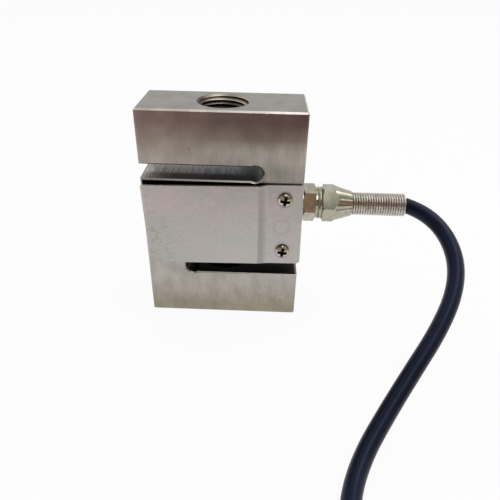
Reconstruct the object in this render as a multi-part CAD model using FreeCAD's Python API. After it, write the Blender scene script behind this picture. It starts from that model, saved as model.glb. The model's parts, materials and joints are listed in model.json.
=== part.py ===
"""S-type load cell: a slotted steel spring element with a screwed sheet cover on each face, a
cable gland with a close-wound spring relief, and its screened four-core cable.

Frame: millimetres, +X to the gland side, -Y to the front cover, +Z up along the load axis.
The origin is the centre of the block's bottom face.
"""
import FreeCAD, Part

import math
import os

V = FreeCAD.Vector
X_AXIS = V(1, 0, 0)
Y_AXIS = V(0, 1, 0)
Z_AXIS = V(0, 0, 1)

# ---- spring element ----
block_width = 60.0
block_depth = 25.4
block_height = 86.0
edge_chamfer = 0.6
arm_height = 20.0          # solid arm between an end face and its slot
slot_height = 5.5
slot_reach_x = 12.1        # drilled slot end, measured past the load axis
slot_end_radius = 3.1
slot_lip_chamfer = 0.5
load_thread_radius = 9.0   # M18 x 1.5, major diameter
load_thread_lead = 0.7     # chamfer at each mouth
pocket_radius = 11.0       # blind gauge pocket in the front and in the rear face
web_thickness = 3.0        # sensing web left between the two pockets
bridge_hole_radius = 2.0
bridge_hole_x = -7.6

# ---- sheet covers ----
sheet = 1.0
bend_radius = 0.4
cover_margin = 0.7         # cover's edge to the slot's edge, above and below
cover_left_inset = 0.3
cover_right_overhang = 0.2
cover_corner_radius = 1.3
flange_width = 13.0        # flat flange, from the block's side to the joggle
joggle_width = 3.0
front_standoff_low = 0.55  # the front cover leans out towards its top edge
front_standoff_high = 1.4
rear_standoff = 1.0
cover_hole_clearance = 0.3
front_cover_turn = 1.05    # degrees, its free end sunk by the play in its screw holes

# ---- cover screws, M3 pan head ----
screw_edge = 6.6           # screws' axes to the block's side
screw_inset = 5.8          # from the cover's lower and upper edges
screw_radius = 1.5
screw_length = 8.0
screw_head_radius = 2.75
screw_head_height = 1.9
screw_rim_height = 0.8
recess_span = 3.1
recess_width = 0.85
recess_depth = 1.4
recess_taper = 0.45
thread_clearance = 0.05    # modelled gap between a plain screw thread and its plain hole

# ---- gland ----
gland_rise = 3.8           # gland's axis above the middle of the block
gland_z = block_height / 2 + gland_rise
gland_across_flats = 13.0
gland_thread_radius = 5.0  # M10 into the block
gland_thread_length = 11.0
gland_bore_spare = 5.0     # room for the cores between the stub and the duct
washer_thickness = 1.0
washer_radius = 7.0
base_hex_length = 4.9
base_hex_face_angle = 23.0
neck_radius = 6.2
neck_gap = 2.6             # thread seen between the two hexagons
neck_length = 7.0
nut_hex_length = 5.0
nut_hex_face_angle = 35.0
nut_cone_length = 6.7
nut_cone_radius = 6.95     # between the flats and the corners, so the cone scallops the flats
nut_nose_radius = 4.95
hex_corner_cut = 0.55
gland_cable_gap = 0.2
seal_chamber_radius = 4.6
seal_length = 4.5
clamp_ring_length = 1.6
fit_gap = 0.05

# ---- spring relief ----
spring_radius = 4.5
spring_wire = 1.2
spring_pitch_gap = 0.04
spring_seat_depth = 1.3

# ---- cable ----
cable_radius = 3.0
cable_exit_x = 71.5        # end of the spring relief
sheath_stub = 0.5          # sheath past the gland's inner end
free_route = [
    (cable_exit_x, 0.0, gland_z), (76.2, -2.4, 46.2), (82.2, -8.4, 43.9), (85.8, -16.6, 40.3),
    (86.5, -26.4, 35.5), (83.0, -37.4, 29.8), (75.6, -48.6, 23.0), (66.0, -59.6, 15.5),
    (56.5, -71.0, 8.5), (47.5, -83.5, 3.8), (41.6, -97.5, 3.0), (41.2, -109.0, 3.0),
    (44.0, -120.5, 3.0), (44.0, -131.5, 3.0)]
coil_y = -155.0
coil_inner_turn = 22.7     # middle of the innermost turn
coil_layer_turns = 3
coil_layers = 3
coil_layer_pitch = 6.05
coil_slack = 0.1           # coil's outline past its outermost turn
tail_route = [
    (25.85, -155.0, 21.5), (25.75, -163.5, 21.5), (23.15, -172.0, 21.5), (16.65, -179.5, 21.5),
    (7.15, -183.5, 21.5), (-2.35, -183.0, 21.5)]
sleeve_radius = 3.25
sleeve_length = 10.0
lead_radius = 0.65
lead_rise = 0.1            # leads above the coil's top
lead_count = 5
lead_bundle_pitch = 0.7
lead_bundle_rise = 1.0
lead_bend = 14.0
lead_length = 29.0
lead_step = 1.5
lead_fan_near = 1.9
lead_fan_far = 3.6

# ---- gauges, boards and wires in the pockets ----
gauge_size = 6.4
gauge_thickness = 0.15
grid_thickness = 0.06
grid_line = 0.2
grid_lines = 5
grid_length = 2.2
grid_offset = 1.55
board_size = (4.4, 0.8, 4.8)
board_x = 3.8
board_drop = 1.2           # board's lower edge above the pocket's centre
resistor_radius = 0.7
resistor_length = 3.4
resistor_pitch = 2.2
core_radius = 0.37
core_pitch = 1.1
core_end_lead = 1.0        # straight core at the sheath's end
pad_spread = (1.8, 0.6)    # pads of the outer and inner cores, above and below the gland's axis
duct_radius = 1.9
bridge_wire_radius = 0.3
bridge_wire_pitch = 0.85
pocket_seal_thickness = 2.0
pocket_seal_sink = 0.3
pocket_seal_gap = 0.15

# ---- places worked out from the sizes above ----
side_x = block_width / 2
face_y = block_depth / 2
mid_z = block_height / 2
screw_x = side_x - screw_edge
flange_start_x = side_x - flange_width
web_face_y = web_thickness / 2
upper_slot_z = block_height - arm_height - slot_height
cover_low_z = arm_height + slot_height + cover_margin
cover_high_z = upper_slot_z - cover_margin
hex_corner = gland_across_flats / math.sqrt(3)
hex_x = side_x + washer_thickness
neck_x = hex_x + base_hex_length
nut_x = neck_x + neck_gap
nose_x = nut_x + nut_hex_length + nut_cone_length
spring_x = nose_x - spring_seat_depth
gland_bore_end_x = side_x - gland_thread_length - gland_bore_spare
pad_y = -web_face_y - board_size[1] - core_radius - fit_gap
duct_y = pad_y - core_pitch / 2
sheath_end_x = side_x - gland_thread_length - sheath_stub
coil_outer_turn = coil_inner_turn + coil_layer_turns * coil_layer_pitch
coil_centre = (free_route[-1][0] - coil_outer_turn, coil_y)
coil_top_z = coil_layers * coil_layer_pitch


def cylinder(radius, start, direction, length):
    return Part.makeCylinder(radius, length, V(*start), direction)


def tube(outer, inner, start, direction, length):
    bore = cylinder(inner, start, direction, length)
    return cylinder(outer, start, direction, length).cut(bore)


def box(low, high):
    size = [b - a for a, b in zip(low, high)]
    return Part.makeBox(*size, V(*low))


def turned(profile, origin, direction):
    """Solid turned about a line: profile is (distance along the line, radius) pairs."""
    side = Z_AXIS if abs(direction.z) < 0.5 else X_AXIS
    points = [V(*origin) + direction * along + side * radius for along, radius in profile]
    face = Part.Face(Part.makePolygon(points + points[:1]))
    return face.revolve(V(*origin), direction, 360)


def rounded_wire(corners, radii, to_space):
    """Closed wire of straight runs and tangent arcs through flat corners."""
    edges = []
    count = len(corners)
    stops = []
    for i, (corner, radius) in enumerate(zip(corners, radii)):
        before = unit(subtract(corners[i - 1], corner))
        after = unit(subtract(corners[(i + 1) % count], corner))
        if radius == 0:
            stops.append((corner, None, corner))
            continue
        half = math.acos(before[0] * after[0] + before[1] * after[1]) / 2
        reach = radius / math.tan(half)
        bisector = unit((before[0] + after[0], before[1] + after[1]))
        middle = along(corner, bisector, radius / math.sin(half) - radius)
        stops.append((along(corner, before, reach), middle, along(corner, after, reach)))
    for i, (start, middle, end) in enumerate(stops):
        if middle:
            edges.append(Part.Arc(to_space(start), to_space(middle), to_space(end)).toShape())
        following = stops[(i + 1) % count][0]
        edges.append(Part.LineSegment(to_space(end), to_space(following)).toShape())
    return Part.Wire(edges)


def subtract(a, b):
    return (a[0] - b[0], a[1] - b[1])


def unit(a):
    size = math.hypot(*a)
    return (a[0] / size, a[1] / size)


def along(point, direction, distance):
    return (point[0] + direction[0] * distance, point[1] + direction[1] * distance)


def route_wire(points):
    """Straight runs joined by tangent arcs, each arc as large as its two runs allow."""
    points = [V(*p) for p in points]
    edges = []
    radii = []
    last = points[0]
    for before, corner, after in zip(points, points[1:], points[2:]):
        back = before - corner
        ahead = after - corner
        reach = 0.45 * min(back.Length, ahead.Length)
        back.normalize()
        ahead.normalize()
        half = back.getAngle(ahead) / 2
        radius = reach * math.tan(half)
        bisector = back + ahead
        bisector.normalize()
        start = corner + back * reach
        middle = corner + bisector * (radius / math.sin(half) - radius)
        end = corner + ahead * reach
        edges.append(Part.LineSegment(last, start).toShape())
        edges.append(Part.Arc(start, middle, end).toShape())
        radii.append(radius)
        last = end
    edges.append(Part.LineSegment(last, points[-1]).toShape())
    return Part.Wire(edges), radii


def round_cord(points, radius):
    """Round cord along a route, as one solid."""
    path, radii = route_wire(points)
    heading = V(*points[1]) - V(*points[0])
    section = Part.Wire(Part.makeCircle(radius, V(*points[0]), heading))
    cord = path.makePipeShell([section], True, False)
    return cord, path.Length, radii


def from_gland(cord):
    """The free stretch with its first end carried back to meet the straight cable flat."""
    start = V(*free_route[0])
    heading = V(*free_route[1]) - start
    heading.normalize()
    stub = cylinder(cable_radius, tuple(start - heading * cable_radius), heading, cable_radius)
    keep = box((cable_exit_x, start.y - 2 * cable_radius, start.z - 2 * cable_radius),
               (cable_exit_x + cable_radius, start.y + 2 * cable_radius, start.z + 2 * cable_radius))
    behind = keep.translated(V(-cable_radius, 0, 0))
    return cord.cut(behind).fuse(stub.common(keep)).removeSplitter()


# ---- spring element ----
def slot_tool(open_side):
    """Slot from the open side to its drilled end, for the slot above the pockets."""
    reach = slot_reach_x
    slot_mid = upper_slot_z + slot_height / 2
    run = box((-side_x - 1, -face_y - 1, upper_slot_z), (reach, face_y + 1, upper_slot_z + slot_height))
    end = cylinder(slot_end_radius, (reach, -face_y - 1, slot_mid), Y_AXIS, block_depth + 2)
    tool = run.fuse(end).removeSplitter()
    if open_side < 0:
        return tool
    return about_middle(tool)


def about_middle(shape):
    """The same shape half a turn round, about the line through the middle of both faces."""
    return shape.rotated(V(0, 0, mid_z), Y_AXIS, 180)


def lip_edges(body):
    """Slot edges that lie in the front and rear faces."""
    slot_mid = upper_slot_z + slot_height / 2
    found = []
    for edge in body.Edges:
        bounds = edge.BoundBox
        in_face = bounds.YLength < 1e-6 and abs(abs(bounds.YMin) - face_y) < 1e-6
        off_mid = min(abs(bounds.Center.z - slot_mid), abs(bounds.Center.z - block_height + slot_mid))
        if in_face and off_mid < slot_end_radius + slot_lip_chamfer and not in_outline(bounds):
            found.append(edge)
    return found


def in_outline(bounds):
    return bounds.XLength < 1e-6 and side_x - abs(bounds.XMin) < 2 * edge_chamfer + 1e-6


def elastic_body():
    body = box((-side_x, -face_y, 0), (side_x, face_y, block_height))
    body = body.makeChamfer(edge_chamfer, body.Edges)
    for open_side in (-1, 1):
        body = body.cut(slot_tool(open_side))
    body = body.makeChamfer(slot_lip_chamfer, lip_edges(body))
    mouth = load_thread_radius + load_thread_lead
    load_bore = turned([(-1, 0), (-1, mouth), (0, mouth), (load_thread_lead, load_thread_radius),
                        (arm_height + slot_height / 2, load_thread_radius),
                        (arm_height + slot_height / 2, 0)], (0, 0, 0), Z_AXIS)
    pocket = cylinder(pocket_radius, (0, -face_y - 1, mid_z), Y_AXIS, face_y - web_face_y + 1)
    for cutter in (load_bore, pocket):
        body = body.cut(cutter).cut(cutter.rotated(V(0, 0, mid_z), X_AXIS, 180))
    for side in (-1, 1):
        for z in screw_heights():
            depth = screw_length - sheet + 1.0
            start = (screw_x, side * (face_y + 1), z)
            body = body.cut(cylinder(screw_radius, start, Y_AXIS * -side, depth + 1))
    gland_bore = cylinder(gland_thread_radius + thread_clearance, (gland_bore_end_x, 0, gland_z),
                          X_AXIS, side_x - gland_bore_end_x + 1)
    duct_start = board_x + board_size[0] + 1
    duct = cylinder(duct_radius, (duct_start, duct_y, gland_z), X_AXIS, gland_bore_end_x - duct_start + 1)
    bridge_hole = cylinder(bridge_hole_radius, (bridge_hole_x, -face_y, mid_z), Y_AXIS, block_depth)
    return body.cut(gland_bore).cut(duct).cut(bridge_hole)


def screw_heights():
    return (cover_high_z - screw_inset, cover_low_z + screw_inset)


# ---- covers ----
def cover_outline(standoff, z):
    """Section of the folded sheet at one height, standing off the front face of the block."""
    left = -side_x + cover_left_inset
    right = side_x + cover_right_overhang
    slope = math.atan2(standoff, joggle_width)
    shift = sheet * math.tan(slope / 2)
    corners = [(right, 0), (right, sheet), (flange_start_x + shift, sheet),
               (flange_start_x - joggle_width + shift, standoff + sheet), (left, standoff + sheet),
               (left, 0), (left + sheet, 0), (left + sheet, standoff),
               (flange_start_x - joggle_width, standoff), (flange_start_x, 0)]
    wide = bend_radius + sheet
    radii = [0, 0, bend_radius, wide, wide, 0, 0, bend_radius, bend_radius, wide]
    return rounded_wire(corners, radii, lambda p: V(p[0], -face_y - p[1], z))


def front_cover(standoff_low, standoff_high, turn):
    """Folded cover on the front face, turned a little about its screws in the play of its holes."""
    low = cover_outline(standoff_low, cover_low_z)
    high = cover_outline(standoff_high, cover_high_z)
    cover = Part.makeLoft([low, high], True, True)
    left = -side_x + cover_left_inset
    right = side_x + cover_right_overhang
    blank = [(left, cover_low_z), (right, cover_low_z), (right, cover_high_z), (left, cover_high_z)]
    radii = [cover_corner_radius] * len(blank)
    outline = Part.Face(rounded_wire(blank, radii, lambda p: V(p[0], 0, p[1])))
    cover = cover.common(outline.extrude(V(0, -2 * face_y, 0)))
    for z in screw_heights():
        hole = cylinder(screw_radius + cover_hole_clearance, (screw_x, -face_y - 2 * sheet, z),
                        Y_AXIS, 3 * sheet)
        cover = cover.cut(hole)
    return cover.rotated(V(screw_x, 0, mid_z), Y_AXIS, -turn)


def to_rear(shape):
    """A front piece turned over on to the rear face, half a turn about the X direction."""
    return shape.rotated(V(0, 0, mid_z), X_AXIS, 180)


# ---- screws ----
def pan_screw(z):
    """Cross-recessed pan head screw, head outwards on the front cover."""
    seat = (screw_x, -face_y - sheet, z)
    shank_radius = screw_radius - thread_clearance
    rim = V(*seat) - Y_AXIS * screw_rim_height
    crown = Part.Arc(rim + X_AXIS * screw_head_radius,
                     V(*seat) - Y_AXIS * (screw_rim_height + 0.78 * (screw_head_height - screw_rim_height))
                     + X_AXIS * (screw_head_radius * 0.55),
                     V(*seat) - Y_AXIS * screw_head_height)
    foot = V(*seat) + X_AXIS * screw_head_radius
    outline = Part.Wire([
        Part.LineSegment(V(*seat), foot).toShape(),
        Part.LineSegment(foot, rim + X_AXIS * screw_head_radius).toShape(),
        crown.toShape(),
        Part.LineSegment(V(*seat) - Y_AXIS * screw_head_height, V(*seat)).toShape()])
    head = Part.Face(outline).revolve(V(*seat), Y_AXIS, 360)
    tip = shank_radius * 0.4
    shank = turned([(0, 0), (0, shank_radius), (screw_length - tip, shank_radius),
                    (screw_length, shank_radius - tip), (screw_length, 0)], seat, Y_AXIS)
    screw = head.fuse(shank)
    for quarter in (0, 90):
        screw = screw.cut(recess_arm(seat, quarter))
    return screw.removeSplitter()


def recess_arm(seat, quarter):
    """One tapered bar of the cross recess."""
    top = seat[1] - screw_head_height - 0.01
    sections = []
    for y, scale in ((top, 1.0), (top + recess_depth, recess_taper)):
        span = recess_span * scale / 2
        width = recess_width * (1 + scale) / 4
        points = [V(seat[0] + sx * span, y, seat[2] + sz * width)
                  for sx, sz in ((-1, -1), (1, -1), (1, 1), (-1, 1))]
        sections.append(Part.makePolygon(points + points[:1]))
    bar = Part.makeLoft(sections, True, True)
    return bar.rotated(V(*seat), Y_AXIS, quarter + 8)


# ---- gland ----
def hexagon(start_x, hex_length, end_profile, face_angle):
    """Hexagonal bar along X with its corners turned off and its far end turned to a profile.

    face_angle is the rise of one flat towards the front.
    """
    points = []
    for k in range(6):
        angle = math.radians(face_angle + 30 + 60 * k)
        points.append(V(start_x, -hex_corner * math.cos(angle), gland_z + hex_corner * math.sin(angle)))
    length = end_profile[-1][0]
    bar = Part.Face(Part.makePolygon(points + points[:1])).extrude(X_AXIS * length)
    profile = [(0, 0), (0, hex_corner - 2 * hex_corner_cut), (hex_corner_cut, hex_corner),
               (hex_length - hex_corner_cut, hex_corner)] + end_profile + [(length, 0)]
    return bar.common(turned(profile, (start_x, 0, gland_z), X_AXIS))


def gland_tube(radius, start_x, end_x):
    return cylinder(radius, (start_x, 0, gland_z), X_AXIS, end_x - start_x)


def gland_body():
    stub_x = side_x - gland_thread_length
    neck_end = neck_x + neck_length
    end_profile = [(base_hex_length, hex_corner - 2 * hex_corner_cut)]
    body = hexagon(hex_x, base_hex_length, end_profile, base_hex_face_angle)
    body = body.fuse(gland_tube(gland_thread_radius, stub_x, hex_x))
    body = body.fuse(gland_tube(neck_radius, neck_x, neck_end))
    body = body.cut(gland_tube(cable_radius + gland_cable_gap, stub_x - 1, neck_end + 1))
    seal_x = neck_end - seal_length
    return body.cut(gland_tube(seal_chamber_radius, seal_x, neck_end + 1)).removeSplitter()


def gland_nut():
    neck_end = neck_x + neck_length
    shoulder_x = neck_end + clamp_ring_length
    cone_profile = [(nut_hex_length, nut_cone_radius), (nose_x - nut_x, nut_nose_radius)]
    nut = hexagon(nut_x, nut_hex_length, cone_profile, nut_hex_face_angle)
    nut = nut.cut(gland_tube(neck_radius + thread_clearance, nut_x - 1, neck_end + fit_gap))
    nut = nut.cut(gland_tube(seal_chamber_radius, nut_x, shoulder_x))
    nut = nut.cut(gland_tube(cable_radius + gland_cable_gap, nut_x, nose_x + 1))
    return nut.cut(gland_tube(spring_radius + fit_gap, spring_x, nose_x + 1)).removeSplitter()


def gland_ring(outer, start_x, length):
    return tube(outer, cable_radius + fit_gap, (start_x, 0, gland_z), X_AXIS, length)


def spring_relief():
    """Close-wound wire on a true helix, its first turn seated in the nose of the nut."""
    mean = spring_radius - spring_wire / 2
    pitch = spring_wire + spring_pitch_gap
    start_x = spring_x + spring_wire / 2
    height = cable_exit_x - spring_wire / 2 - start_x
    helix = Part.makeLongHelix(pitch, height, mean, 0)
    section = Part.Wire(Part.makeCircle(spring_wire / 2, V(mean, 0, 0), Y_AXIS))
    coil = Part.Wire(helix).makePipeShell([section], True, True)
    coil.rotate(V(0, 0, 0), Y_AXIS, 90)
    coil.translate(V(start_x, 0, gland_z))
    return coil


# ---- gauges, boards and wires ----
def strain_gauge():
    """Backing film with two crossed measuring grids; returns the film and the two grids."""
    half = gauge_size / 2
    film = box((-half, -web_face_y - gauge_thickness, mid_z - half),
               (half, -web_face_y, mid_z + half))
    grids = []
    for side in (-1, 1):
        grid = measuring_grid()
        grid.rotate(V(0, 0, 0), Y_AXIS, 45 * side)
        grid.translate(V(side * grid_offset, -web_face_y - gauge_thickness, mid_z))
        grids.append(grid)
    return film, Part.makeCompound(grids)


def measuring_grid():
    """Folded foil line about the origin, rising along Z, with a solder tab at each end."""
    pitch = 2 * grid_line
    start = -pitch * (grid_lines - 1) / 2
    half = grid_length / 2
    pieces = []
    for k in range(grid_lines):
        x = start + k * pitch
        pieces.append(box((x - grid_line / 2, -grid_thickness, -half), (x + grid_line / 2, 0, half)))
        if k:
            end = half - grid_line if k % 2 else -half
            pieces.append(box((x - pitch, -grid_thickness, end), (x, 0, end + grid_line)))
    return pieces[0].fuse(pieces[1:]).removeSplitter()


def board():
    """Small printed board stuck to the web beside the gauge."""
    low_z = mid_z + board_drop
    return box((board_x, -web_face_y - board_size[1], low_z),
               (board_x + board_size[0], -web_face_y, low_z + board_size[2]))


def resistor(row):
    """Leadless resistor lying on the rear board."""
    middle_z = mid_z + board_drop + board_size[2] / 2 + (row - 0.5) * resistor_pitch
    start = (board_x + (board_size[0] - resistor_length) / 2,
             -web_face_y - board_size[1] - resistor_radius, middle_z)
    return cylinder(resistor_radius, start, X_AXIS, resistor_length)


def core_wires():
    """Four insulated cores from the sheath's end through the duct to the terminal board."""
    half = core_pitch / 2
    wires = []
    for column, row in ((0, 1), (0, -1), (1, 1), (1, -1)):
        y = half - column * core_pitch
        z = gland_z + row * half
        pad_x = board_x + board_size[0] * (0.8 - 0.5 * column)
        pad_z = gland_z + row * pad_spread[column]
        points = [(sheath_end_x, y, z), (sheath_end_x - core_end_lead, y, z),
                  (gland_bore_end_x, duct_y + y, z), (pad_x, pad_y, pad_z)]
        wires.append(round_cord(points, core_radius)[0])
    return wires


def bridge_wires():
    """Wires through the web that join the two gauges into one bridge."""
    inner_x = -gauge_size / 2 - bridge_wire_radius
    surface_y = web_face_y + gauge_thickness + bridge_wire_radius
    wires = []
    for k in range(4):
        z = mid_z + (k - 1.5) * bridge_wire_pitch
        points = [(inner_x, -surface_y, z), (bridge_hole_x, -surface_y, z),
                  (bridge_hole_x, surface_y, z), (inner_x, surface_y, z)]
        wires.append(round_cord(points, bridge_wire_radius)[0])
    return Part.makeCompound(wires)


def pocket_seal():
    start = (0, -face_y + pocket_seal_sink, mid_z)
    return cylinder(pocket_radius - pocket_seal_gap, start, Y_AXIS, pocket_seal_thickness)


# ---- free cable ----
def cable_coil():
    """Outer shape of the coiled length, with the straight lead-in of its first turn."""
    centre = (*coil_centre, 0)
    outer = coil_outer_turn + cable_radius + coil_slack
    ring = tube(outer, coil_inner_turn - cable_radius, centre, Z_AXIS, coil_top_z)
    end = free_route[-1]
    lead_in = cylinder(cable_radius, end, V(0, -1, 0), end[1] - coil_centre[1])
    return ring.fuse(lead_in).removeSplitter()


def tail_leads():
    """Four cores and the screen's drain, fanned out of the cable's far end on top of the coil."""
    end = V(*tail_route[-1])
    heading = end - V(*tail_route[-2])
    heading.normalize()
    across = V(-heading.y, heading.x, 0)
    rest_z = coil_top_z + lead_radius + lead_rise
    leads = []
    for k in range(lead_count):
        spread = k - (lead_count - 1) / 2
        rise = lead_bundle_rise if k % 2 else -lead_bundle_rise
        start = end + across * (spread * lead_bundle_pitch) + Z_AXIS * rise
        mouth = start + heading * (sleeve_length / 2)
        near = end + heading * lead_bend + across * (spread * lead_fan_near)
        far = end + heading * (lead_length + lead_step * (k % 2)) + across * (spread * lead_fan_far)
        points = [start, mouth, V(near.x, near.y, rest_z), V(far.x, far.y, rest_z)]
        leads.append(round_cord([tuple(p) for p in points], lead_radius)[0])
    return leads


def save(name, shape):
    shape.exportStep(os.path.join("parts", name + ".step"))
    print(name, "solids", len(shape.Solids), "volume", round(shape.Volume, 1), "valid", shape.isValid())


def main():
    os.makedirs("parts", exist_ok=True)
    save("elastic_body", elastic_body())
    save("front_cover", front_cover(front_standoff_low, front_standoff_high, front_cover_turn))
    save("rear_cover", to_rear(front_cover(rear_standoff, rear_standoff, 0)))
    for level, z in zip(("upper", "lower"), screw_heights()):
        save("front_cover_screw_" + level, pan_screw(z))
        save("rear_cover_screw_" + level, to_rear(pan_screw(block_height - z)))

    film, grids = strain_gauge()
    save("front_gauge", film)
    save("front_gauge_grids", grids)
    save("rear_gauge", to_rear(film))
    save("rear_gauge_grids", to_rear(grids))
    save("terminal_board", board())
    save("trim_board", to_rear(board()))
    save("span_resistor", to_rear(resistor(0)))
    save("zero_resistor", to_rear(resistor(1)))
    save("bridge_wires", bridge_wires())
    save("front_pocket_seal", pocket_seal())
    save("rear_pocket_seal", to_rear(pocket_seal()))
    for colour, wire in zip(("red", "black", "green", "white"), core_wires()):
        save(colour + "_core", wire)

    neck_end = neck_x + neck_length
    save("gland_washer", tube(washer_radius, gland_thread_radius + fit_gap, (side_x, 0, gland_z),
                              X_AXIS, washer_thickness))
    save("gland_body", gland_body())
    save("gland_seal", gland_ring(seal_chamber_radius - fit_gap, neck_end - seal_length, seal_length))
    save("gland_clamp_ring", gland_ring(seal_chamber_radius - fit_gap, neck_end, clamp_ring_length))
    save("gland_nut", gland_nut())
    save("spring_relief", spring_relief())
    save("cable_entry", gland_tube(cable_radius, sheath_end_x, cable_exit_x))

    for name, route in (("cable_run", free_route), ("cable_tail", tail_route)):
        cord, length, radii = round_cord(route, cable_radius)
        if route is free_route:
            cord = from_gland(cord)
        save(name, cord)
        print(name, "length", round(length, 1), "radii", [round(r, 1) for r in radii],
              "volume over section", round(cord.Volume / (math.pi * cable_radius ** 2), 1))
    save("cable_coil", cable_coil())
    end = V(*tail_route[-1])
    heading = end - V(*tail_route[-2])
    heading.normalize()
    start = end - heading * (sleeve_length / 2)
    save("tail_sleeve", tube(sleeve_radius, cable_radius + fit_gap, tuple(start), heading, sleeve_length))
    for name, lead in zip(("red", "black", "green", "white", "drain"), tail_leads()):
        save(name + "_lead", lead)


main()
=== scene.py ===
"""S-type load cell dressed for the studio: metals, sheet covers, threads and its coiled cable.

All sizes are in metres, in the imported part's own frame: +X to the gland, -Y to the front, +Z up.
"""

import json
import math

import bpy
from mathutils import Matrix, Vector


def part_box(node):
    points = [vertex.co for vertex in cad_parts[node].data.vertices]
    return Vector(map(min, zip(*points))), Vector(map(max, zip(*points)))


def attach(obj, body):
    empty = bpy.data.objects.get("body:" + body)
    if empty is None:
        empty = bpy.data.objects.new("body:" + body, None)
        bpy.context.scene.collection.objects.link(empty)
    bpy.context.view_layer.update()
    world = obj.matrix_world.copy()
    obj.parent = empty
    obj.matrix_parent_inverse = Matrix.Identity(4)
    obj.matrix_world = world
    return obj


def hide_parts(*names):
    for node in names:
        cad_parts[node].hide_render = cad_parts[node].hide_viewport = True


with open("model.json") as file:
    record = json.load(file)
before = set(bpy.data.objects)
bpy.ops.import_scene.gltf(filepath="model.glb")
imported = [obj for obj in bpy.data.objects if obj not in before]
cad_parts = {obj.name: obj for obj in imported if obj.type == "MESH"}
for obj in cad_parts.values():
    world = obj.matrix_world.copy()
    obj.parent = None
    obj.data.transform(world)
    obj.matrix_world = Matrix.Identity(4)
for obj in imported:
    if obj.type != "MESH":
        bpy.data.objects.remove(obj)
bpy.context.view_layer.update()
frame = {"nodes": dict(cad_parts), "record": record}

MM = 0.001
skin = 0.02 * MM                # a point this near to a face counts as on it

# ---- places read from the frame ----
body_low, body_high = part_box("elastic_body")
front_y = body_low.y
side_x = body_high.x
top_z = body_high.z
mid_z = top_z / 2
nut_low, nut_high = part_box("gland_nut")
gland_z = (nut_low.z + nut_high.z) / 2

# ---- slots and cover gaps, as distances from the block's end faces ----
slot_near = 19.4 * MM           # just outside the slot's drilled end, on the arm's side
slot_far = 26.1 * MM            # the same, on the side of the block's middle
gap_reach = 25.85 * MM          # a little outside the covers' edges

# ---- slot walls, as depths below the block's outside ----
slot_inset_x = 0.7 * MM
slot_inset_y = 0.55 * MM        # past the chamfer of the slot's lip

# ---- load threads, M18 x 1.5 ----
load_thread_radius = 9.0 * MM
load_thread_pitch = 1.5 * MM
load_thread_depth = 0.8 * MM
load_mouth_radius = 9.7 * MM
arm_height = 20.0 * MM          # from an end face to its slot
bore_depth = 19.9 * MM          # where the bore's finish ends, just short of the slot

# ---- marks of use, and places of painted light ----
dents = [                       # x, z and radius on the front face, in millimetres
    (-11.4, 72.2, 0.45), (15.6, 85.4, 0.6), (23.9, 6.4, 0.5), (15.0, 8.7, 0.35)]
sheen_band_z = 70.0 * MM            # middle of the band painted pale on the upper arm, a painted sheen
chamfer_slant = 0.3             # least product of sideways and upward lean of a chamfer that gets a painted highlight
pressed_ring_centre = (22.8 * MM, 0.0, 42.6 * MM)
pressed_ring_radius = 3.0 * MM

# ---- fades of tone, each from where it starts to where it is full ----
painted_tone_raggedness = 0.09       # share of the block's height, raggedness of the painted reflection and shade
# painted shade on the right of the upper arm fades in over this height
right_shade_fade_z = (0.84 * top_z, 0.95 * top_z)
# painted highlight along the upper edge fades in over this height
upper_highlight_fade_z = (0.96 * top_z, 0.98 * top_z)
# painted sheen band on the upper arm, fading with distance from its middle and towards the left
sheen_band_fade = (6 * MM, 1.5 * MM)                # distance from the band's middle
sheen_band_fade_x = (-14 * MM, 2 * MM)
end_face_fade = (0.8, 0.9)                      # upward or downward lean of the end faces, painted a darker grey as their shade
# painted shade on the left of the load bores
bore_left_shade_x = (-8.5 * MM, -1 * MM)
groove_shade_fade = (8.2 * MM, 9.05 * MM)             # distance from the load axis, over which the thread's grooves get painted shade
# painted shade towards the slots' front, and over the whole lower slot
slot_front_shade_y = (front_y + 7.5 * MM, front_y + 5 * MM)
slot_front_shade_x = (-28 * MM, -18 * MM)
lower_slot_shade_fade = (0.0, -1 * MM)
cover_tone_z = (26 * MM, 60 * MM)
# painted shade on the cover's left side
cover_left_shade_x = (-28 * MM, 6 * MM)
# the cover's joggle is painted darker as its shade
joggle_start_x = (13.5 * MM, 14 * MM)
joggle_end_x = (17.4 * MM, 15.2 * MM)
pressed_ring_shade_line = (0.7 * MM, 0.1 * MM)        # distance from the ring's circle, over which its painted shade line fades
specks_fade_x = (-12 * MM, -24 * MM)
specks_fade_z = (50 * MM, 38 * MM)

# ---- driver recess of the cover screws ----
recess_turn = math.radians(-8)
recess_half_width = 0.6 * MM
recess_reach = 1.9 * MM
# beyond this radius the screw heads' rim is painted with shade
screw_rim_radius = 2.55 * MM

# ---- wound pieces ----
winding_steps = 40              # sections in each turn
merge_distance = 1e-6
most_end_corners = 16           # of the open ends that are filled
smooth_angle = math.radians(40)

# ---- spring relief ----
spring_radius = 4.5 * MM
spring_wire = 0.98 * MM
wire_corners = 12

# ---- thread on the gland's neck ----
neck_radius = 6.2 * MM
neck_thread_pitch = 1.0 * MM
neck_thread_depth = 0.3 * MM
neck_start_x = 35.9 * MM
neck_end_x = 38.5 * MM

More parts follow.
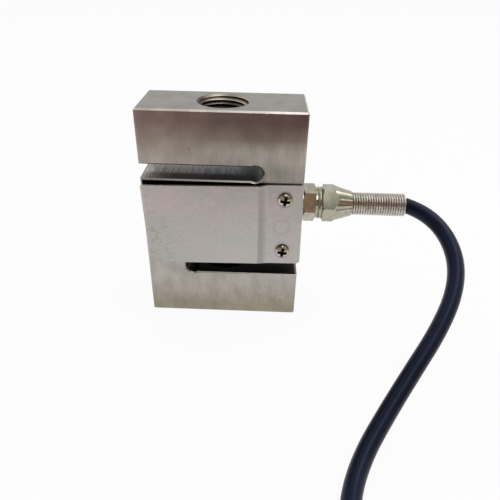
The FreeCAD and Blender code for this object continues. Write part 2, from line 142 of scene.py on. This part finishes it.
# ---- cable, its route and coil in millimetres ----
cable_diameter = 6.0 * MM
free_route = [
    (71.5, 0.0, 46.8), (76.2, -2.4, 46.2), (82.2, -8.4, 43.9), (85.8, -16.6, 40.3),
    (86.5, -26.4, 35.5), (83.0, -37.4, 29.8), (75.6, -48.6, 23.0), (66.0, -59.6, 15.5),
    (56.5, -71.0, 8.5), (47.5, -83.5, 3.8), (41.6, -97.5, 3.0), (41.2, -109.0, 3.0),
    (44.0, -120.5, 3.0), (44.0, -131.5, 3.0)]
tail_route = [
    (25.85, -155.0, 21.5), (25.75, -163.5, 21.5), (23.15, -172.0, 21.5), (16.65, -179.5, 21.5),
    (7.15, -183.5, 21.5), (-2.35, -183.0, 21.5)]
coil_centre = (3.15, -155.0)
coil_inner = 22.7
coil_pitch = 6.05
coil_layers = 3
coil_layer_turns = 3
coil_climb_turns = 0.25
coil_points_per_turn = 16

# ---- camera's place and lens ----
camera_place = (0.01492, -0.17506, 0.13250)
camera_forward = (-0.0215, 0.8483, -0.5290)
camera_right = (0.9992, 0.0361, 0.0172)
camera_sensor = 36.0            # in millimetres, as is the lens
camera_lens = 34.87

# ---- floor, room and lamps ----
floor_size = 8.0
floor_glow = 0.93               # share of plain white where the floor is seen or mirrored
room_strength = 0.95
room_front_fade = (0.15, -0.4)  # a direction's Y, from the pale room to its open front
soft_boxes = [                  # name, place, width, depth and power in watts
    ("overhead_box", (0.3, -0.12, 0.85), 1.3, 0.28, 2.9),
    ("front_strip", (0.78, -0.5, 0.75), 0.6, 0.1, 0.42),
    ("left_box", (-0.7, -0.2, 0.6), 0.4, 0.4, 0.2)]


# ---- camera ----
def aim_camera():
    """Camera above and in front, tilted down on the block."""
    lens_data = bpy.data.cameras.new("studio_camera")
    lens_data.sensor_width = camera_sensor
    lens_data.lens = camera_lens
    lens_data.clip_start = 0.01
    camera = bpy.data.objects.new("studio_camera", lens_data)
    bpy.context.scene.collection.objects.link(camera)
    forward = Vector(camera_forward).normalized()
    up = Vector(camera_right).cross(forward).normalized()
    right = forward.cross(up)
    turn = Matrix((right, up, -forward)).transposed().to_4x4()
    camera.matrix_world = Matrix.Translation(camera_place) @ turn
    bpy.context.scene.camera = camera


# ---- cable ----
def coil_points():
    """Spiral layers wound inwards, outwards and inwards, each climbing at its end to the next.

    The line is drawn inside the corners of these points, so they stand a little further out."""
    points = []
    spread = 2 / (1 + math.cos(math.pi / coil_points_per_turn))
    base = cable_diameter / MM / 2
    for step in range(coil_layers * coil_layer_turns * coil_points_per_turn):
        turn = step / coil_points_per_turn
        layer, gone = divmod(turn, coil_layer_turns)
        inner_turns = gone if layer % 2 else coil_layer_turns - gone
        radius = spread * (coil_inner + inner_turns * coil_pitch)
        floor_z = base + layer * coil_pitch
        next_z = floor_z + coil_pitch if layer < coil_layers - 1 else tail_route[0][2]
        climbed = max(0.0, (gone - coil_layer_turns) / coil_climb_turns + 1)
        angle = -2 * math.pi * turn
        points.append((coil_centre[0] + radius * math.cos(angle),
                       coil_centre[1] + radius * math.sin(angle),
                       floor_z + climbed * (next_z - floor_z)))
    return points


def cable(sheath):
    """The whole cable as one smooth line, from the spring relief's mouth to its stripped end."""
    line = bpy.data.curves.new("cable", "CURVE")
    line.dimensions = "3D"
    line.bevel_depth = cable_diameter / 2
    line.bevel_resolution = 6
    line.resolution_u = 8
    line.use_fill_caps = True
    spline = line.splines.new("NURBS")
    route = free_route + coil_points() + tail_route
    spline.points.add(len(route) - 1)
    for point, place in zip(spline.points, route):
        point.co = (*(value * MM for value in place), 1.0)
    spline.order_u = 3
    spline.use_endpoint_u = True
    piece = bpy.data.objects.new("cable", line)
    bpy.context.scene.collection.objects.link(piece)
    piece.data.materials.append(sheath)
    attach(piece, "root")
    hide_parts("cable_run", "cable_coil", "cable_tail")


# ---- materials ----
def linear(code):
    """Linear colour of an sRGB hex value."""
    values = [int(code[k:k + 2], 16) / 255 for k in (0, 2, 4)]
    return (*(v / 12.92 if v <= 0.04045 else ((v + 0.055) / 1.055) ** 2.4 for v in values), 1.0)


def add(tree, kind, sockets=(), stops=(), **settings):
    """Adds a shader node with its settings, its socket values or links, and its ramp's stops."""
    made = tree.nodes.new("ShaderNode" + kind)
    for name, value in settings.items():
        setattr(made, name, value)
    for name, value in dict(sockets).items():
        if isinstance(value, bpy.types.NodeSocket):
            tree.links.new(value, made.inputs[name])
        else:
            made.inputs[name].default_value = value
    for index, (place, colour) in enumerate(stops):
        elements = made.color_ramp.elements
        stop = elements[index] if index < 2 else elements.new(place)
        stop.position = place
        stop.color = linear(colour)
    return made


def new_finish(name, **shader_values):
    """A material with one Principled shader; returns the material, its tree and the shader."""
    material = bpy.data.materials.new(name)
    material.use_nodes = True
    tree = material.node_tree
    shader = tree.nodes["Principled BSDF"]
    for socket, value in shader_values.items():
        shader.inputs[socket.replace("_", " ")].default_value = value
    return material, tree, shader


def grain(tree, size, detail=2.0, roughness=0.5):
    """Noise whose grains have that size along X, Y and Z, in millimetres."""
    place = add(tree, "TexCoord").outputs["Object"]
    scale = [1 / (value * MM) for value in size]
    mapped = add(tree, "Mapping", {"Vector": place, "Scale": scale})
    noise = add(tree, "TexNoise", {"Vector": mapped.outputs["Vector"], "Scale": 1.0, "Detail": detail,
                                   "Roughness": roughness})
    return noise.outputs["Fac"]


def ranged(tree, value, low, high, start=0.0, end=1.0):
    """A value's range mapped to another, clamped."""
    return add(tree, "MapRange", {"Value": value, "From Min": low, "From Max": high, "To Min": start,
                                  "To Max": end}).outputs["Result"]


def sums(tree, operation, first, second=0.0):
    """One arithmetic step on values or links."""
    return add(tree, "Math", {0: first, 1: second}, operation=operation).outputs[0]


def parts_of(tree, vector):
    """The X, Y and Z links of a vector."""
    return add(tree, "SeparateXYZ", {"Vector": vector}).outputs


def distance(tree, place, centre, axes=(1, 1, 1)):
    """Distance from a point, or from a line along the axis whose weight is 0."""
    away = add(tree, "VectorMath", {0: place, 1: centre}, operation="SUBTRACT").outputs[0]
    flat = add(tree, "VectorMath", {0: away, 1: axes}, operation="MULTIPLY").outputs[0]
    return add(tree, "VectorMath", {0: flat}, operation="LENGTH").outputs["Value"]


def from_load_axis(tree, place):
    """Distance from the line through both load holes."""
    return distance(tree, place, (0, 0, 0), (1, 1, 0))


def reach_along(tree, away, turn):
    """How far a vector reaches, either way, along a direction turned from X towards Z."""
    direction = (math.cos(turn), 0, math.sin(turn))
    along = add(tree, "VectorMath", {0: away, 1: direction}, operation="DOT_PRODUCT")
    return sums(tree, "ABSOLUTE", along.outputs["Value"])


def from_middle(tree, across):
    """Height above or below the middle of the block."""
    return sums(tree, "ABSOLUTE", sums(tree, "SUBTRACT", across["Z"], mid_z))


def spots(tree, place, marks):
    """1 on small ragged marks, each given by its centre and radius in millimetres."""
    ragged = grain(tree, (0.5, 0.5, 0.9))
    total = 0.0
    for x, z, radius in marks:
        centre = (x * MM, front_y, z * MM)
        near = sums(tree, "DIVIDE", distance(tree, place, centre), radius * MM)
        total = sums(tree, "MAXIMUM", ranged(tree, sums(tree, "ADD", near, ragged), 1.7, 1.2), total)
    return total


def blended(tree, factor, first, second, how="MIX"):
    """Two colours blended by a factor; a colour may be a hex value."""
    colours = [linear(c) if isinstance(c, str) else c for c in (first, second)]
    return add(tree, "Mix", {0: factor, 6: colours[0], 7: colours[1]}, data_type="RGBA",
               blend_type=how).outputs[2]


def surface(tree, shader, colour, roughness, height=None, depth=0.0):
    """Links a colour, a roughness and, if given, a bump of that depth in millimetres."""
    tree.links.new(colour, shader.inputs["Base Color"])
    tree.links.new(roughness, shader.inputs["Roughness"])
    if height is not None:
        bump = add(tree, "Bump", {"Height": height, "Distance": depth * MM})
        tree.links.new(bump.outputs["Normal"], shader.inputs["Normal"])


def ramp(tree, value, stops):
    """A colour ramp over a value, as (place, hex colour) stops."""
    return add(tree, "ValToRGB", {"Fac": value}, stops=stops).outputs["Color"]


def tinted(tree, colour, tint, share=1.0):
    """A colour multiplied by a tint, in part or in full."""
    return blended(tree, share, colour, tint, "MULTIPLY")


def nickel_tone_with_painted_light(tree, across, facing, scratches):
    """Tone of the plate over the block, painted light throughout: painted shade olive at the foot, a
    painted brown reflection towards the upper end, darker on the right, a painted pale sheen on the
    upper arm and end faces painted a darker grey as their shade."""
    ragged = sums(tree, "MULTIPLY", scratches, painted_tone_raggedness)
    height = sums(tree, "ADD", ranged(tree, across["Z"], 0.0, top_z), ragged)
    # painted reflection and shade by height: shade at the foot, a brown reflection towards the upper
    # end
    colour = ramp(tree, height, [
        (0.0, "7f7869"), (0.02, "8d8575"), (0.04, "a39b8b"), (0.09, "a39a89"), (0.17, "b4aca4"),
        (0.25, "bdb7b2"), (0.74, "bdb7b0"), (0.84, "b9b0a8"), (0.905, "ab9f93"), (0.95, "9e8d83"),
        (1.0, "8b7670")])
    # painted shade, darker on the right of the upper arm
    right_shade = blended(tree, ranged(tree, across["X"], -side_x, side_x), "ffffff", "d2c8ca")
    colour = tinted(tree, colour, right_shade, ranged(tree, across["Z"], *right_shade_fade_z))
    # painted sheen, a pale band on the upper arm
    off_band = sums(tree, "ABSOLUTE", sums(tree, "SUBTRACT", across["Z"], sheen_band_z))
    painted_sheen = sums(tree, "MULTIPLY", ranged(tree, off_band, *sheen_band_fade),
                  ranged(tree, across["X"], *sheen_band_fade_x))
    colour = blended(tree, painted_sheen, colour, "cac3b9")
    # end faces painted a darker grey as their shade
    ends = ranged(tree, sums(tree, "ABSOLUTE", facing["Z"]), *end_face_fade)
    return blended(tree, ends, colour, "a4a19d")


def ground_nickel_steel():
    """Alloy steel, ground along the load axis and nickel plated: upright scratches under a satin
    sheen and a few dents, with painted light: reflection and shade painted by height, painted
    highlights on upward chamfers, and painted shade in the milled slots, the bores and the covers'
    gaps."""
    material, tree, shader = new_finish("ground_nickel_plated_steel", Metallic=1.0, Roughness=0.36)
    coordinates = add(tree, "TexCoord").outputs
    place = coordinates["Object"]
    across = parts_of(tree, place)
    facing = parts_of(tree, coordinates["Normal"])
    scratches = grain(tree, (0.4, 3.0, 7.0), detail=5.0, roughness=0.65)
    smudges = grain(tree, (6.0, 6.0, 8.0), detail=4.0)
    colour = nickel_tone_with_painted_light(tree, across, facing, scratches)
    streaked = blended(tree, ranged(tree, scratches, 0.35, 0.65), "f0efee", "ffffff")
    mottled = blended(tree, ranged(tree, smudges, 0.35, 0.65), "e8e7e5", "ffffff")
    colour = tinted(tree, tinted(tree, colour, streaked), mottled)
    colour = blended(tree, spots(tree, place, dents), colour, "8a8177")
    # painted shade, near black where the covers' gaps show the block
    colour = blended(tree, cover_gap_shade_mask(tree, across), colour, "120e0c")
    # painted highlights on upward chamfers, brightest along the upper edge
    upper_edge_highlight = blended(tree, ranged(tree, smudges, 0.4, 0.6), "dcd5ce", "f0e9e2")
    at_top = ranged(tree, across["Z"], *upper_highlight_fade_z)
    edge_highlight = blended(tree, at_top, "b0a9a2", upper_edge_highlight)
    colour = blended(tree, edge_mask(tree, facing), colour, edge_highlight)
    # painted shade in the slots
    colour = blended(tree, slot_mask(tree, across), colour, slot_tone(tree, across))
    # painted shade in the load bores
    colour = blended(tree, bore_mask(tree, place, across), colour, bore_tone(tree, place, across))
    surface(tree, shader, colour, ranged(tree, scratches, 0.3, 0.7, 0.32, 0.46), scratches, depth=0.02)
    return material


def edge_mask(tree, facing):
    """1 on chamfers that face upwards, where highlights are painted."""
    sideways = [sums(tree, "ABSOLUTE", facing[axis]) for axis in "XY"]
    slanted = sums(tree, "MULTIPLY", sums(tree, "MAXIMUM", *sideways), facing["Z"])
    return sums(tree, "GREATER_THAN", slanted, chamfer_slant)


def cover_gap_shade_mask(tree, across):
    """1 on the faces that the covers hide, painted near black as shade where their gaps show them."""
    level = sums(tree, "LESS_THAN", from_middle(tree, across), mid_z - gap_reach)
    outside = sums(tree, "GREATER_THAN", sums(tree, "ABSOLUTE", across["Y"]), -front_y - skin)
    return sums(tree, "MULTIPLY", level, outside)


def bore_mask(tree, place, across):
    """1 on the walls and threads of the load holes."""
    within = sums(tree, "LESS_THAN", from_load_axis(tree, place), load_mouth_radius + skin)
    beyond = sums(tree, "GREATER_THAN", from_middle(tree, across), mid_z - bore_depth)
    return sums(tree, "MULTIPLY", within, beyond)


def bore_tone(tree, place, across):
    """Cut thread with painted shade: its grooves painted dark, greyer at the mouth, painted dark brown
    further in and darker on the left.
    """
    outward = ranged(tree, from_middle(tree, across), mid_z - arm_height, mid_z)
    # painted light by depth: pale near the mouth, dark shade further in
    tone = ramp(tree, outward, [
        (0.0, "2a2320"), (0.78, "4a3c35"), (0.83, "8f877b"), (0.9, "d2cbbe"), (0.965, "beb8ac"),
        (1.0, "a39e96")])
    # painted shade on the left of the bore
    left_shade_fade = ranged(tree, across["X"], *bore_left_shade_x)
    tone = tinted(tree, tone, blended(tree, left_shade_fade, "857d75", "ffffff"))
    # painted shade in the thread's grooves
    groove_shade = ramp(tree, ranged(tree, from_load_axis(tree, place), *groove_shade_fade), [
        (0.0, "ffffff"), (0.6, "93897f"), (0.95, "5a5048"), (1.0, "ffffff")])
    return tinted(tree, tone, groove_shade)


def slot_mask(tree, across):
    """1 on the walls of both slots, 0 on the block's outside."""
    away = from_middle(tree, across)
    mask = sums(tree, "MULTIPLY", sums(tree, "GREATER_THAN", away, mid_z - slot_far),
                sums(tree, "LESS_THAN", away, mid_z - slot_near))
    for axis, limit in (("X", side_x - slot_inset_x), ("Y", -front_y - slot_inset_y)):
        inside = sums(tree, "LESS_THAN", sums(tree, "ABSOLUTE", across[axis]), limit)
        mask = sums(tree, "MULTIPLY", mask, inside)
    return mask


def slot_tone(tree, across):
    """Unplated cutter marks in a slot, with painted light: paler at its open end, painted shade
    deepening inwards and black towards its front; the lower slot is painted darker throughout."""
    above = sums(tree, "SUBTRACT", across["Z"], mid_z)
    inward = sums(tree, "MULTIPLY", across["X"], sums(tree, "SIGN", above))
    # painted light along the slot: pale at its open end, shade deepening inwards
    colour = ramp(tree, ranged(tree, inward, -side_x, side_x / 2), [
        (0.0, "d6cfc9"), (0.06, "d2cbc5"), (0.22, "c2bcb8"), (0.55, "a5a1a4"), (0.75, "a09ca0"),
        (0.86, "504e53"), (0.94, "1e1d21"), (1.0, "333135")])
    # painted shade, black towards the slot's front
    front_shade = sums(tree, "MULTIPLY", ranged(tree, across["Y"], *slot_front_shade_y),
               ranged(tree, inward, *slot_front_shade_x, 0.4, 1.0))
    marks = grain(tree, (0.4, 9.0, 6.0), detail=3.0)
    colour = tinted(tree, colour, "1f1d21", front_shade)
    colour = tinted(tree, colour, "5a585b", ranged(tree, marks, 0.38, 0.64, 0.0, 0.75))
    # painted shade over the whole lower slot
    return tinted(tree, colour, "67605a", ranged(tree, above, *lower_slot_shade_fade))


def handling_specks(tree, across):
    """1 on fine specks worn into the front cover near its free edge."""
    specks = grain(tree, (1.7, 1.7, 1.1), detail=3.0)
    worn = ranged(tree, specks, 0.55, 0.72)
    for limit in (ranged(tree, across["X"], *specks_fade_x),
                  ranged(tree, across["Z"], *specks_fade_z, 0.3, 1.0),
                  sums(tree, "LESS_THAN", across["Y"], 0.0)):
        worn = sums(tree, "MULTIPLY", worn, limit)
    return worn


def blasted_stainless_sheet():
    """Stainless sheet, glass-bead blasted: an even pinkish grey with faint greener patches, one
    pressed ring and fine handling specks near its free edge, with painted shade on its left side, on
    its joggle and along the ring's edge."""
    material, tree, shader = new_finish("blasted_stainless_sheet", Metallic=1.0, Roughness=0.42)
    place = add(tree, "TexCoord").outputs["Object"]
    across = parts_of(tree, place)
    colour = ramp(tree, ranged(tree, across["Z"], *cover_tone_z), [
        (0.0, "c3bfbd"), (0.45, "c9c2c0"), (0.8, "cec2c1"), (1.0, "cec1c0")])
    patches = grain(tree, (16.0, 16.0, 11.0), detail=2.0)
    colour = blended(tree, ranged(tree, patches, 0.42, 0.62, 0.0, 0.6), colour, "bfc0b8")
    # painted shade on the cover's left side
    left_shade_fade = ranged(tree, across["X"], *cover_left_shade_x)
    colour = tinted(tree, colour, blended(tree, left_shade_fade, "f3f3f3", "ffffff"))
    # painted shade on the joggle
    joggle_shade = sums(tree, "MULTIPLY", ranged(tree, across["X"], *joggle_start_x),
                  ranged(tree, across["X"], *joggle_end_x))
    colour = tinted(tree, colour, "dbdfde", joggle_shade)
    # the pressed ring's edge is painted as a faint shade line
    off_ring = sums(tree, "SUBTRACT", distance(tree, place, pressed_ring_centre, (1, 0, 1)),
                    pressed_ring_radius)
    ring_shade_line = ranged(tree, sums(tree, "ABSOLUTE", off_ring), *pressed_ring_shade_line, 0.0, 0.4)
    colour = tinted(tree, colour, "dfe1e0", ring_shade_line)
    mottle = grain(tree, (1.6, 1.6, 1.6), detail=4.0, roughness=0.6)
    colour = tinted(tree, colour, blended(tree, ranged(tree, mottle, 0.3, 0.7), "f1efed", "ffffff"))
    colour = blended(tree, handling_specks(tree, across), colour, "9a938e")
    surface(tree, shader, colour, ranged(tree, mottle, 0.3, 0.7, 0.38, 0.48), mottle, depth=0.008)
    return material


def nickel_plate(name, tone, second_tone, roughness):
    """Bright nickel plate on turned metal: warm, nearly mirror-like, clouded by handling."""
    material, tree, shader = new_finish(name, Metallic=1.0, Roughness=roughness)
    cloud = grain(tree, (2.0, 3.0, 3.0), detail=3.0)
    colour = blended(tree, ranged(tree, cloud, 0.35, 0.7), tone, second_tone)
    lines = grain(tree, (0.5, 8.0, 8.0), detail=2.0)
    surface(tree, shader, colour, ranged(tree, cloud, 0.3, 0.7, roughness, roughness + 0.08), lines,
            depth=0.002)
    return material, tree, shader


def recessed_screw_plate():
    """Bright nickel plate on the screws, with painted shade in the driver's cross and under the rim.
    Both rows of screws are laid over one another, so that one cross serves them all."""
    material, tree, shader = nickel_plate("nickel_plated_screw_steel", "cfcabd", "aaa291", 0.14)
    plain = shader.inputs["Base Color"].links[0].from_socket
    low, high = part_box("front_cover_screw_lower")
    axis_x = (low.x + high.x) / 2
    axis_z = (low.z + high.z) / 2
    middle = (axis_x, 0, axis_z)
    across = parts_of(tree, add(tree, "TexCoord").outputs["Object"])
    row = add(tree, "Math", {0: across["Z"], 1: mid_z, 2: 2 * axis_z - mid_z}, operation="WRAP")
    joined = add(tree, "CombineXYZ", {"X": across["X"], "Z": row.outputs[0]}).outputs[0]
    away = add(tree, "VectorMath", {0: joined, 1: middle}, operation="SUBTRACT").outputs[0]
    reaches = [reach_along(tree, away, turn) for turn in (recess_turn, recess_turn + math.pi / 2)]
    narrow = sums(tree, "LESS_THAN", sums(tree, "MINIMUM", *reaches), recess_half_width)
    within = sums(tree, "LESS_THAN", sums(tree, "MAXIMUM", *reaches), recess_reach)
    rim = sums(tree, "GREATER_THAN", distance(tree, joined, middle, (1, 0, 1)), screw_rim_radius)
    # painted shade in the driver's cross and under the rim
    recess_and_rim_shade = sums(tree, "MAXIMUM", sums(tree, "MULTIPLY", narrow, within),
                 sums(tree, "MULTIPLY", rim, 0.7))
    tree.links.new(blended(tree, recess_and_rim_shade, plain, "241a15"), shader.inputs["Base Color"])
    return material


def drawn_spring_wire():
    """Hard-drawn stainless wire: smooth along its length, dulled by drawing film."""
    material, tree, shader = new_finish("drawn_spring_wire", Metallic=1.0, Roughness=0.22)
    film = grain(tree, (2.0, 2.0, 2.0), detail=3.0)
    colour = blended(tree, ranged(tree, film, 0.35, 0.7), "c4beb6", "a9a299")
    surface(tree, shader, colour, ranged(tree, film, 0.3, 0.7, 0.2, 0.28))
    return material


def polyurethane_sheath():
    """Extruded polyurethane cable sheath: navy black, a smooth skin with a soft bluish streak of
    light along its crown."""
    material, tree, shader = new_finish("polyurethane_sheath", Roughness=0.34, Specular_IOR_Level=0.4,
                                        Specular_Tint=linear("a6b4e0"))
    texture = grain(tree, (0.5, 0.5, 0.5), detail=4.0)
    dust = grain(tree, (5.0, 5.0, 5.0), detail=3.0)
    colour = blended(tree, ranged(tree, dust, 0.4, 0.7), "080b1a", "0d1226")
    surface(tree, shader, colour, ranged(tree, dust, 0.3, 0.7, 0.3, 0.42), texture, depth=0.01)
    return material


def moulded(name, tone, second_tone, roughness):
    """A moulded or coated non-metal: two close tones in fine clouds over a slight texture."""
    material, tree, shader = new_finish(name, Roughness=roughness, IOR=1.5)
    cloud = grain(tree, (0.8, 0.8, 0.8), detail=3.0)
    colour = blended(tree, ranged(tree, cloud, 0.35, 0.65), tone, second_tone)
    surface(tree, shader, colour, ranged(tree, cloud, 0.3, 0.7, roughness - 0.06, roughness + 0.06),
            cloud, depth=0.01)
    return material


def small_metal(name, tone, second_tone, roughness):
    """A small bright metal part with slight clouding from handling."""
    material, tree, shader = new_finish(name, Metallic=1.0, Roughness=roughness)
    cloud = grain(tree, (0.6, 0.6, 0.6), detail=3.0)
    colour = blended(tree, ranged(tree, cloud, 0.35, 0.65), tone, second_tone)
    surface(tree, shader, colour, ranged(tree, cloud, 0.3, 0.7, roughness, roughness + 0.12), cloud,
            depth=0.004)
    return material


def dress_nodes(sheath):
    """Gives every CAD node the finish of its real material."""
    by_slot = {
        "alloy_steel": ground_nickel_steel(),
        "cover_sheet": blasted_stainless_sheet(),
        "screw_nickel": recessed_screw_plate(),
        "gland_nickel": nickel_plate("nickel_plated_brass", "b6b3a6", "a09b88", 0.13)[0],
        "spring_wire": drawn_spring_wire(),
        "sealing_rubber": moulded("nitrile_rubber", "0e0e0f", "1a1a1b", 0.7),
        "clamp_plastic": moulded("natural_polyamide", "d9d5c8", "cbc6b8", 0.45),
        "cable_sheath": sheath,
        "gauge_film": moulded("polyimide_film", "b5701c", "a0601a", 0.35),
        "gauge_foil": small_metal("constantan_foil", "b9a68c", "a39078", 0.3),
        "circuit_board": moulded("solder_resist", "1c5a2c", "154a24", 0.4),
        "resistor_body": moulded("resistor_lacquer", "2c4a86", "223a6c", 0.3),
        "enamelled_wire": small_metal("enamelled_copper", "a85a2c", "8f4a22", 0.35),
        "red_insulation": moulded("red_vinyl_core", "b3161a", "98110f", 0.4),
        "black_insulation": moulded("black_vinyl_core", "121212", "1c1c1c", 0.4),
        "green_insulation": moulded("green_vinyl_core", "14783c", "0f6430", 0.4),
        "white_insulation": moulded("white_vinyl_core", "e4e2dc", "d6d3cb", 0.4)}
    for part in frame["record"]["subparts"]:
        node = frame["nodes"][part["node"]]
        node.data.materials.clear()
        node.data.materials.append(by_slot[part["material_slot"]])


# ---- wound pieces ----
def wound(name, corners, radius, pitch, turns):
    """A section at a radius, given by its corner count, wound up the Z axis from z = 0."""
    bpy.ops.object.select_all(action="DESELECT")
    bpy.ops.mesh.primitive_circle_add(vertices=corners, radius=pitch / 2, location=(radius, 0, 0),
                                      rotation=(math.radians(90), 0, 0))
    piece = bpy.context.object
    piece.name = name
    bpy.ops.object.transform_apply(location=True, rotation=True, scale=True)
    winding = piece.modifiers.new("winding", "SCREW")
    winding.axis = "Z"
    winding.screw_offset = pitch
    winding.iterations = turns
    winding.steps = winding_steps
    winding.render_steps = winding_steps
    bpy.ops.object.modifier_apply(modifier=winding.name)
    return piece


def closed_ends(piece):
    """Fills both open ends, turns the faces outwards and smooths the piece."""
    bpy.context.view_layer.objects.active = piece
    piece.select_set(True)
    bpy.ops.object.mode_set(mode="EDIT")
    bpy.ops.mesh.select_all(action="SELECT")
    bpy.ops.mesh.remove_doubles(threshold=merge_distance)
    bpy.ops.mesh.select_all(action="DESELECT")
    bpy.ops.mesh.select_mode(type="EDGE")
    bpy.ops.mesh.select_non_manifold()
    bpy.ops.mesh.fill_holes(sides=most_end_corners)
    bpy.ops.mesh.select_all(action="SELECT")
    bpy.ops.mesh.normals_make_consistent(inside=False)
    bpy.ops.object.mode_set(mode="OBJECT")
    bpy.ops.object.shade_smooth_by_angle(angle=smooth_angle)


def helical_ridge(name, radius, depth, pitch, length):
    """One four-sided thread form wound up the Z axis; a negative depth points outwards."""
    ridge = wound(name, 4, radius, pitch, max(1, round(length / pitch)))
    for corner in ridge.data.vertices:
        reach = corner.co.xy.length
        inward = (radius - reach) / (pitch / 2)
        corner.co.xy *= (radius - depth * max(inward * math.copysign(1, depth), 0.0)) / reach
    closed_ends(ridge)
    return ridge


def along_gland(piece, start_x):
    """Turns a piece wound up the Z axis on to the gland's axis, from a given X."""
    turn = Matrix.Rotation(math.radians(90), 4, "Y")
    piece.data.transform(Matrix.Translation((start_x, 0, gland_z)) @ turn)


def fine_spring():
    """Close-wound relief spring on the gland's axis, seated in the nut's nose."""
    low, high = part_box("spring_relief")
    turns = math.floor((high.x - low.x) / spring_wire) - 1
    pitch = (high.x - low.x - spring_wire) / turns
    spring = wound("wound_relief_spring", wire_corners, spring_radius - spring_wire / 2, pitch, turns)
    closed_ends(spring)
    along_gland(spring, low.x + spring_wire / 2)
    spring.data.materials.append(frame["nodes"]["spring_relief"].data.materials[0])
    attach(spring, "root")
    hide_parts("spring_relief")


def load_threads():
    """Thread in both load bores, cut back by the chamfer at each mouth."""
    steel = frame["nodes"]["elastic_body"].data.materials[0]
    turns = math.floor(arm_height / load_thread_pitch) - 1
    length = turns * load_thread_pitch
    for name, mouth_z, start in (
            ("upper_load_thread", top_z, top_z - length - load_thread_pitch / 2),
            ("lower_load_thread", 0.0, load_thread_pitch)):
        ridge = helical_ridge(name, load_thread_radius, load_thread_depth, load_thread_pitch, length)
        for corner in ridge.data.vertices:
            corner.co.z += start
            limit = max(load_mouth_radius - abs(corner.co.z - mouth_z), 0.0)
            reach = corner.co.xy.length
            if reach < limit:
                corner.co.xy *= limit / reach
        ridge.data.materials.append(steel)
        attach(ridge, "root")


def neck_thread():
    """Thread on the gland's neck, seen between the two hexagons."""
    length = neck_end_x - neck_start_x
    ridge = helical_ridge("gland_neck_thread", neck_radius, -neck_thread_depth, neck_thread_pitch,
                          length)
    along_gland(ridge, neck_start_x + neck_thread_pitch / 2)
    ridge.data.materials.append(frame["nodes"]["gland_body"].data.materials[0])
    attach(ridge, "root")


# ---- studio ----
def pale_floor():
    """Plain white floor that keeps the object's soft shadow."""
    bpy.ops.object.select_all(action="DESELECT")
    bpy.ops.mesh.primitive_plane_add(size=floor_size, location=(0, 0, 0))
    floor = bpy.context.object
    floor.name = "studio_floor"
    material, tree, shader = new_finish("matt_white_floor", Roughness=0.9)
    shader.inputs["Base Color"].default_value = linear("f4f4f4")
    glow = add(tree, "Emission", {"Color": (1, 1, 1, 1), "Strength": 1.0})
    seen = add(tree, "LightPath")
    direct = sums(tree, "MAXIMUM", seen.outputs["Is Camera Ray"], seen.outputs["Is Glossy Ray"])
    share = sums(tree, "MULTIPLY", direct, floor_glow)
    mixed = add(tree, "MixShader", {0: share, 1: shader.outputs[0], 2: glow.outputs[0]})
    tree.links.new(mixed.outputs[0], tree.nodes["Material Output"].inputs["Surface"])
    floor.data.materials.append(material)


def room_light():
    """Pale room, open in front: dark by the floor, a warm band above it, dim further up and grey
    overhead."""
    world = bpy.data.worlds.new("studio_room")
    world.use_nodes = True
    tree = world.node_tree
    toward = parts_of(tree, add(tree, "TexCoord").outputs["Generated"])
    front = ramp(tree, toward["Z"], [
        (0.0, "5d5846"), (0.12, "80705e"), (0.22, "d0ac96"), (0.3, "bf9d87"), (0.42, "968c7c"),
        (0.6, "63665a"), (0.74, "6c6e63"), (0.9, "8f8d85"), (1.0, "b4b3ad")])
    ahead = ranged(tree, toward["Y"], *room_front_fade)
    colour = blended(tree, ahead, "f3f3f1", front)
    background = tree.nodes["Background"]
    tree.links.new(colour, background.inputs["Color"])
    background.inputs["Strength"].default_value = room_strength
    bpy.context.scene.world = world


def soft_lamp(name, place, width, depth, power):
    """One rectangular soft box aimed at the block."""
    data = bpy.data.lights.new(name, "AREA")
    data.shape = "RECTANGLE"
    data.size = width
    data.size_y = depth
    data.energy = power
    lamp = bpy.data.objects.new(name, data)
    bpy.context.scene.collection.objects.link(lamp)
    aim = Vector((0, 0, mid_z)) - Vector(place)
    lamp.matrix_world = Matrix.Translation(place) @ aim.to_track_quat("-Z", "Y").to_matrix().to_4x4()


def studio():
    """White floor, pale room and three soft boxes, seen at plain strength."""
    bpy.context.scene.view_settings.view_transform = "Standard"
    pale_floor()
    room_light()
    for soft_box in soft_boxes:
        soft_lamp(*soft_box)


aim_camera()
cable_finish = polyurethane_sheath()
cable(cable_finish)
dress_nodes(cable_finish)
load_threads()
neck_thread()
fine_spring()
studio()
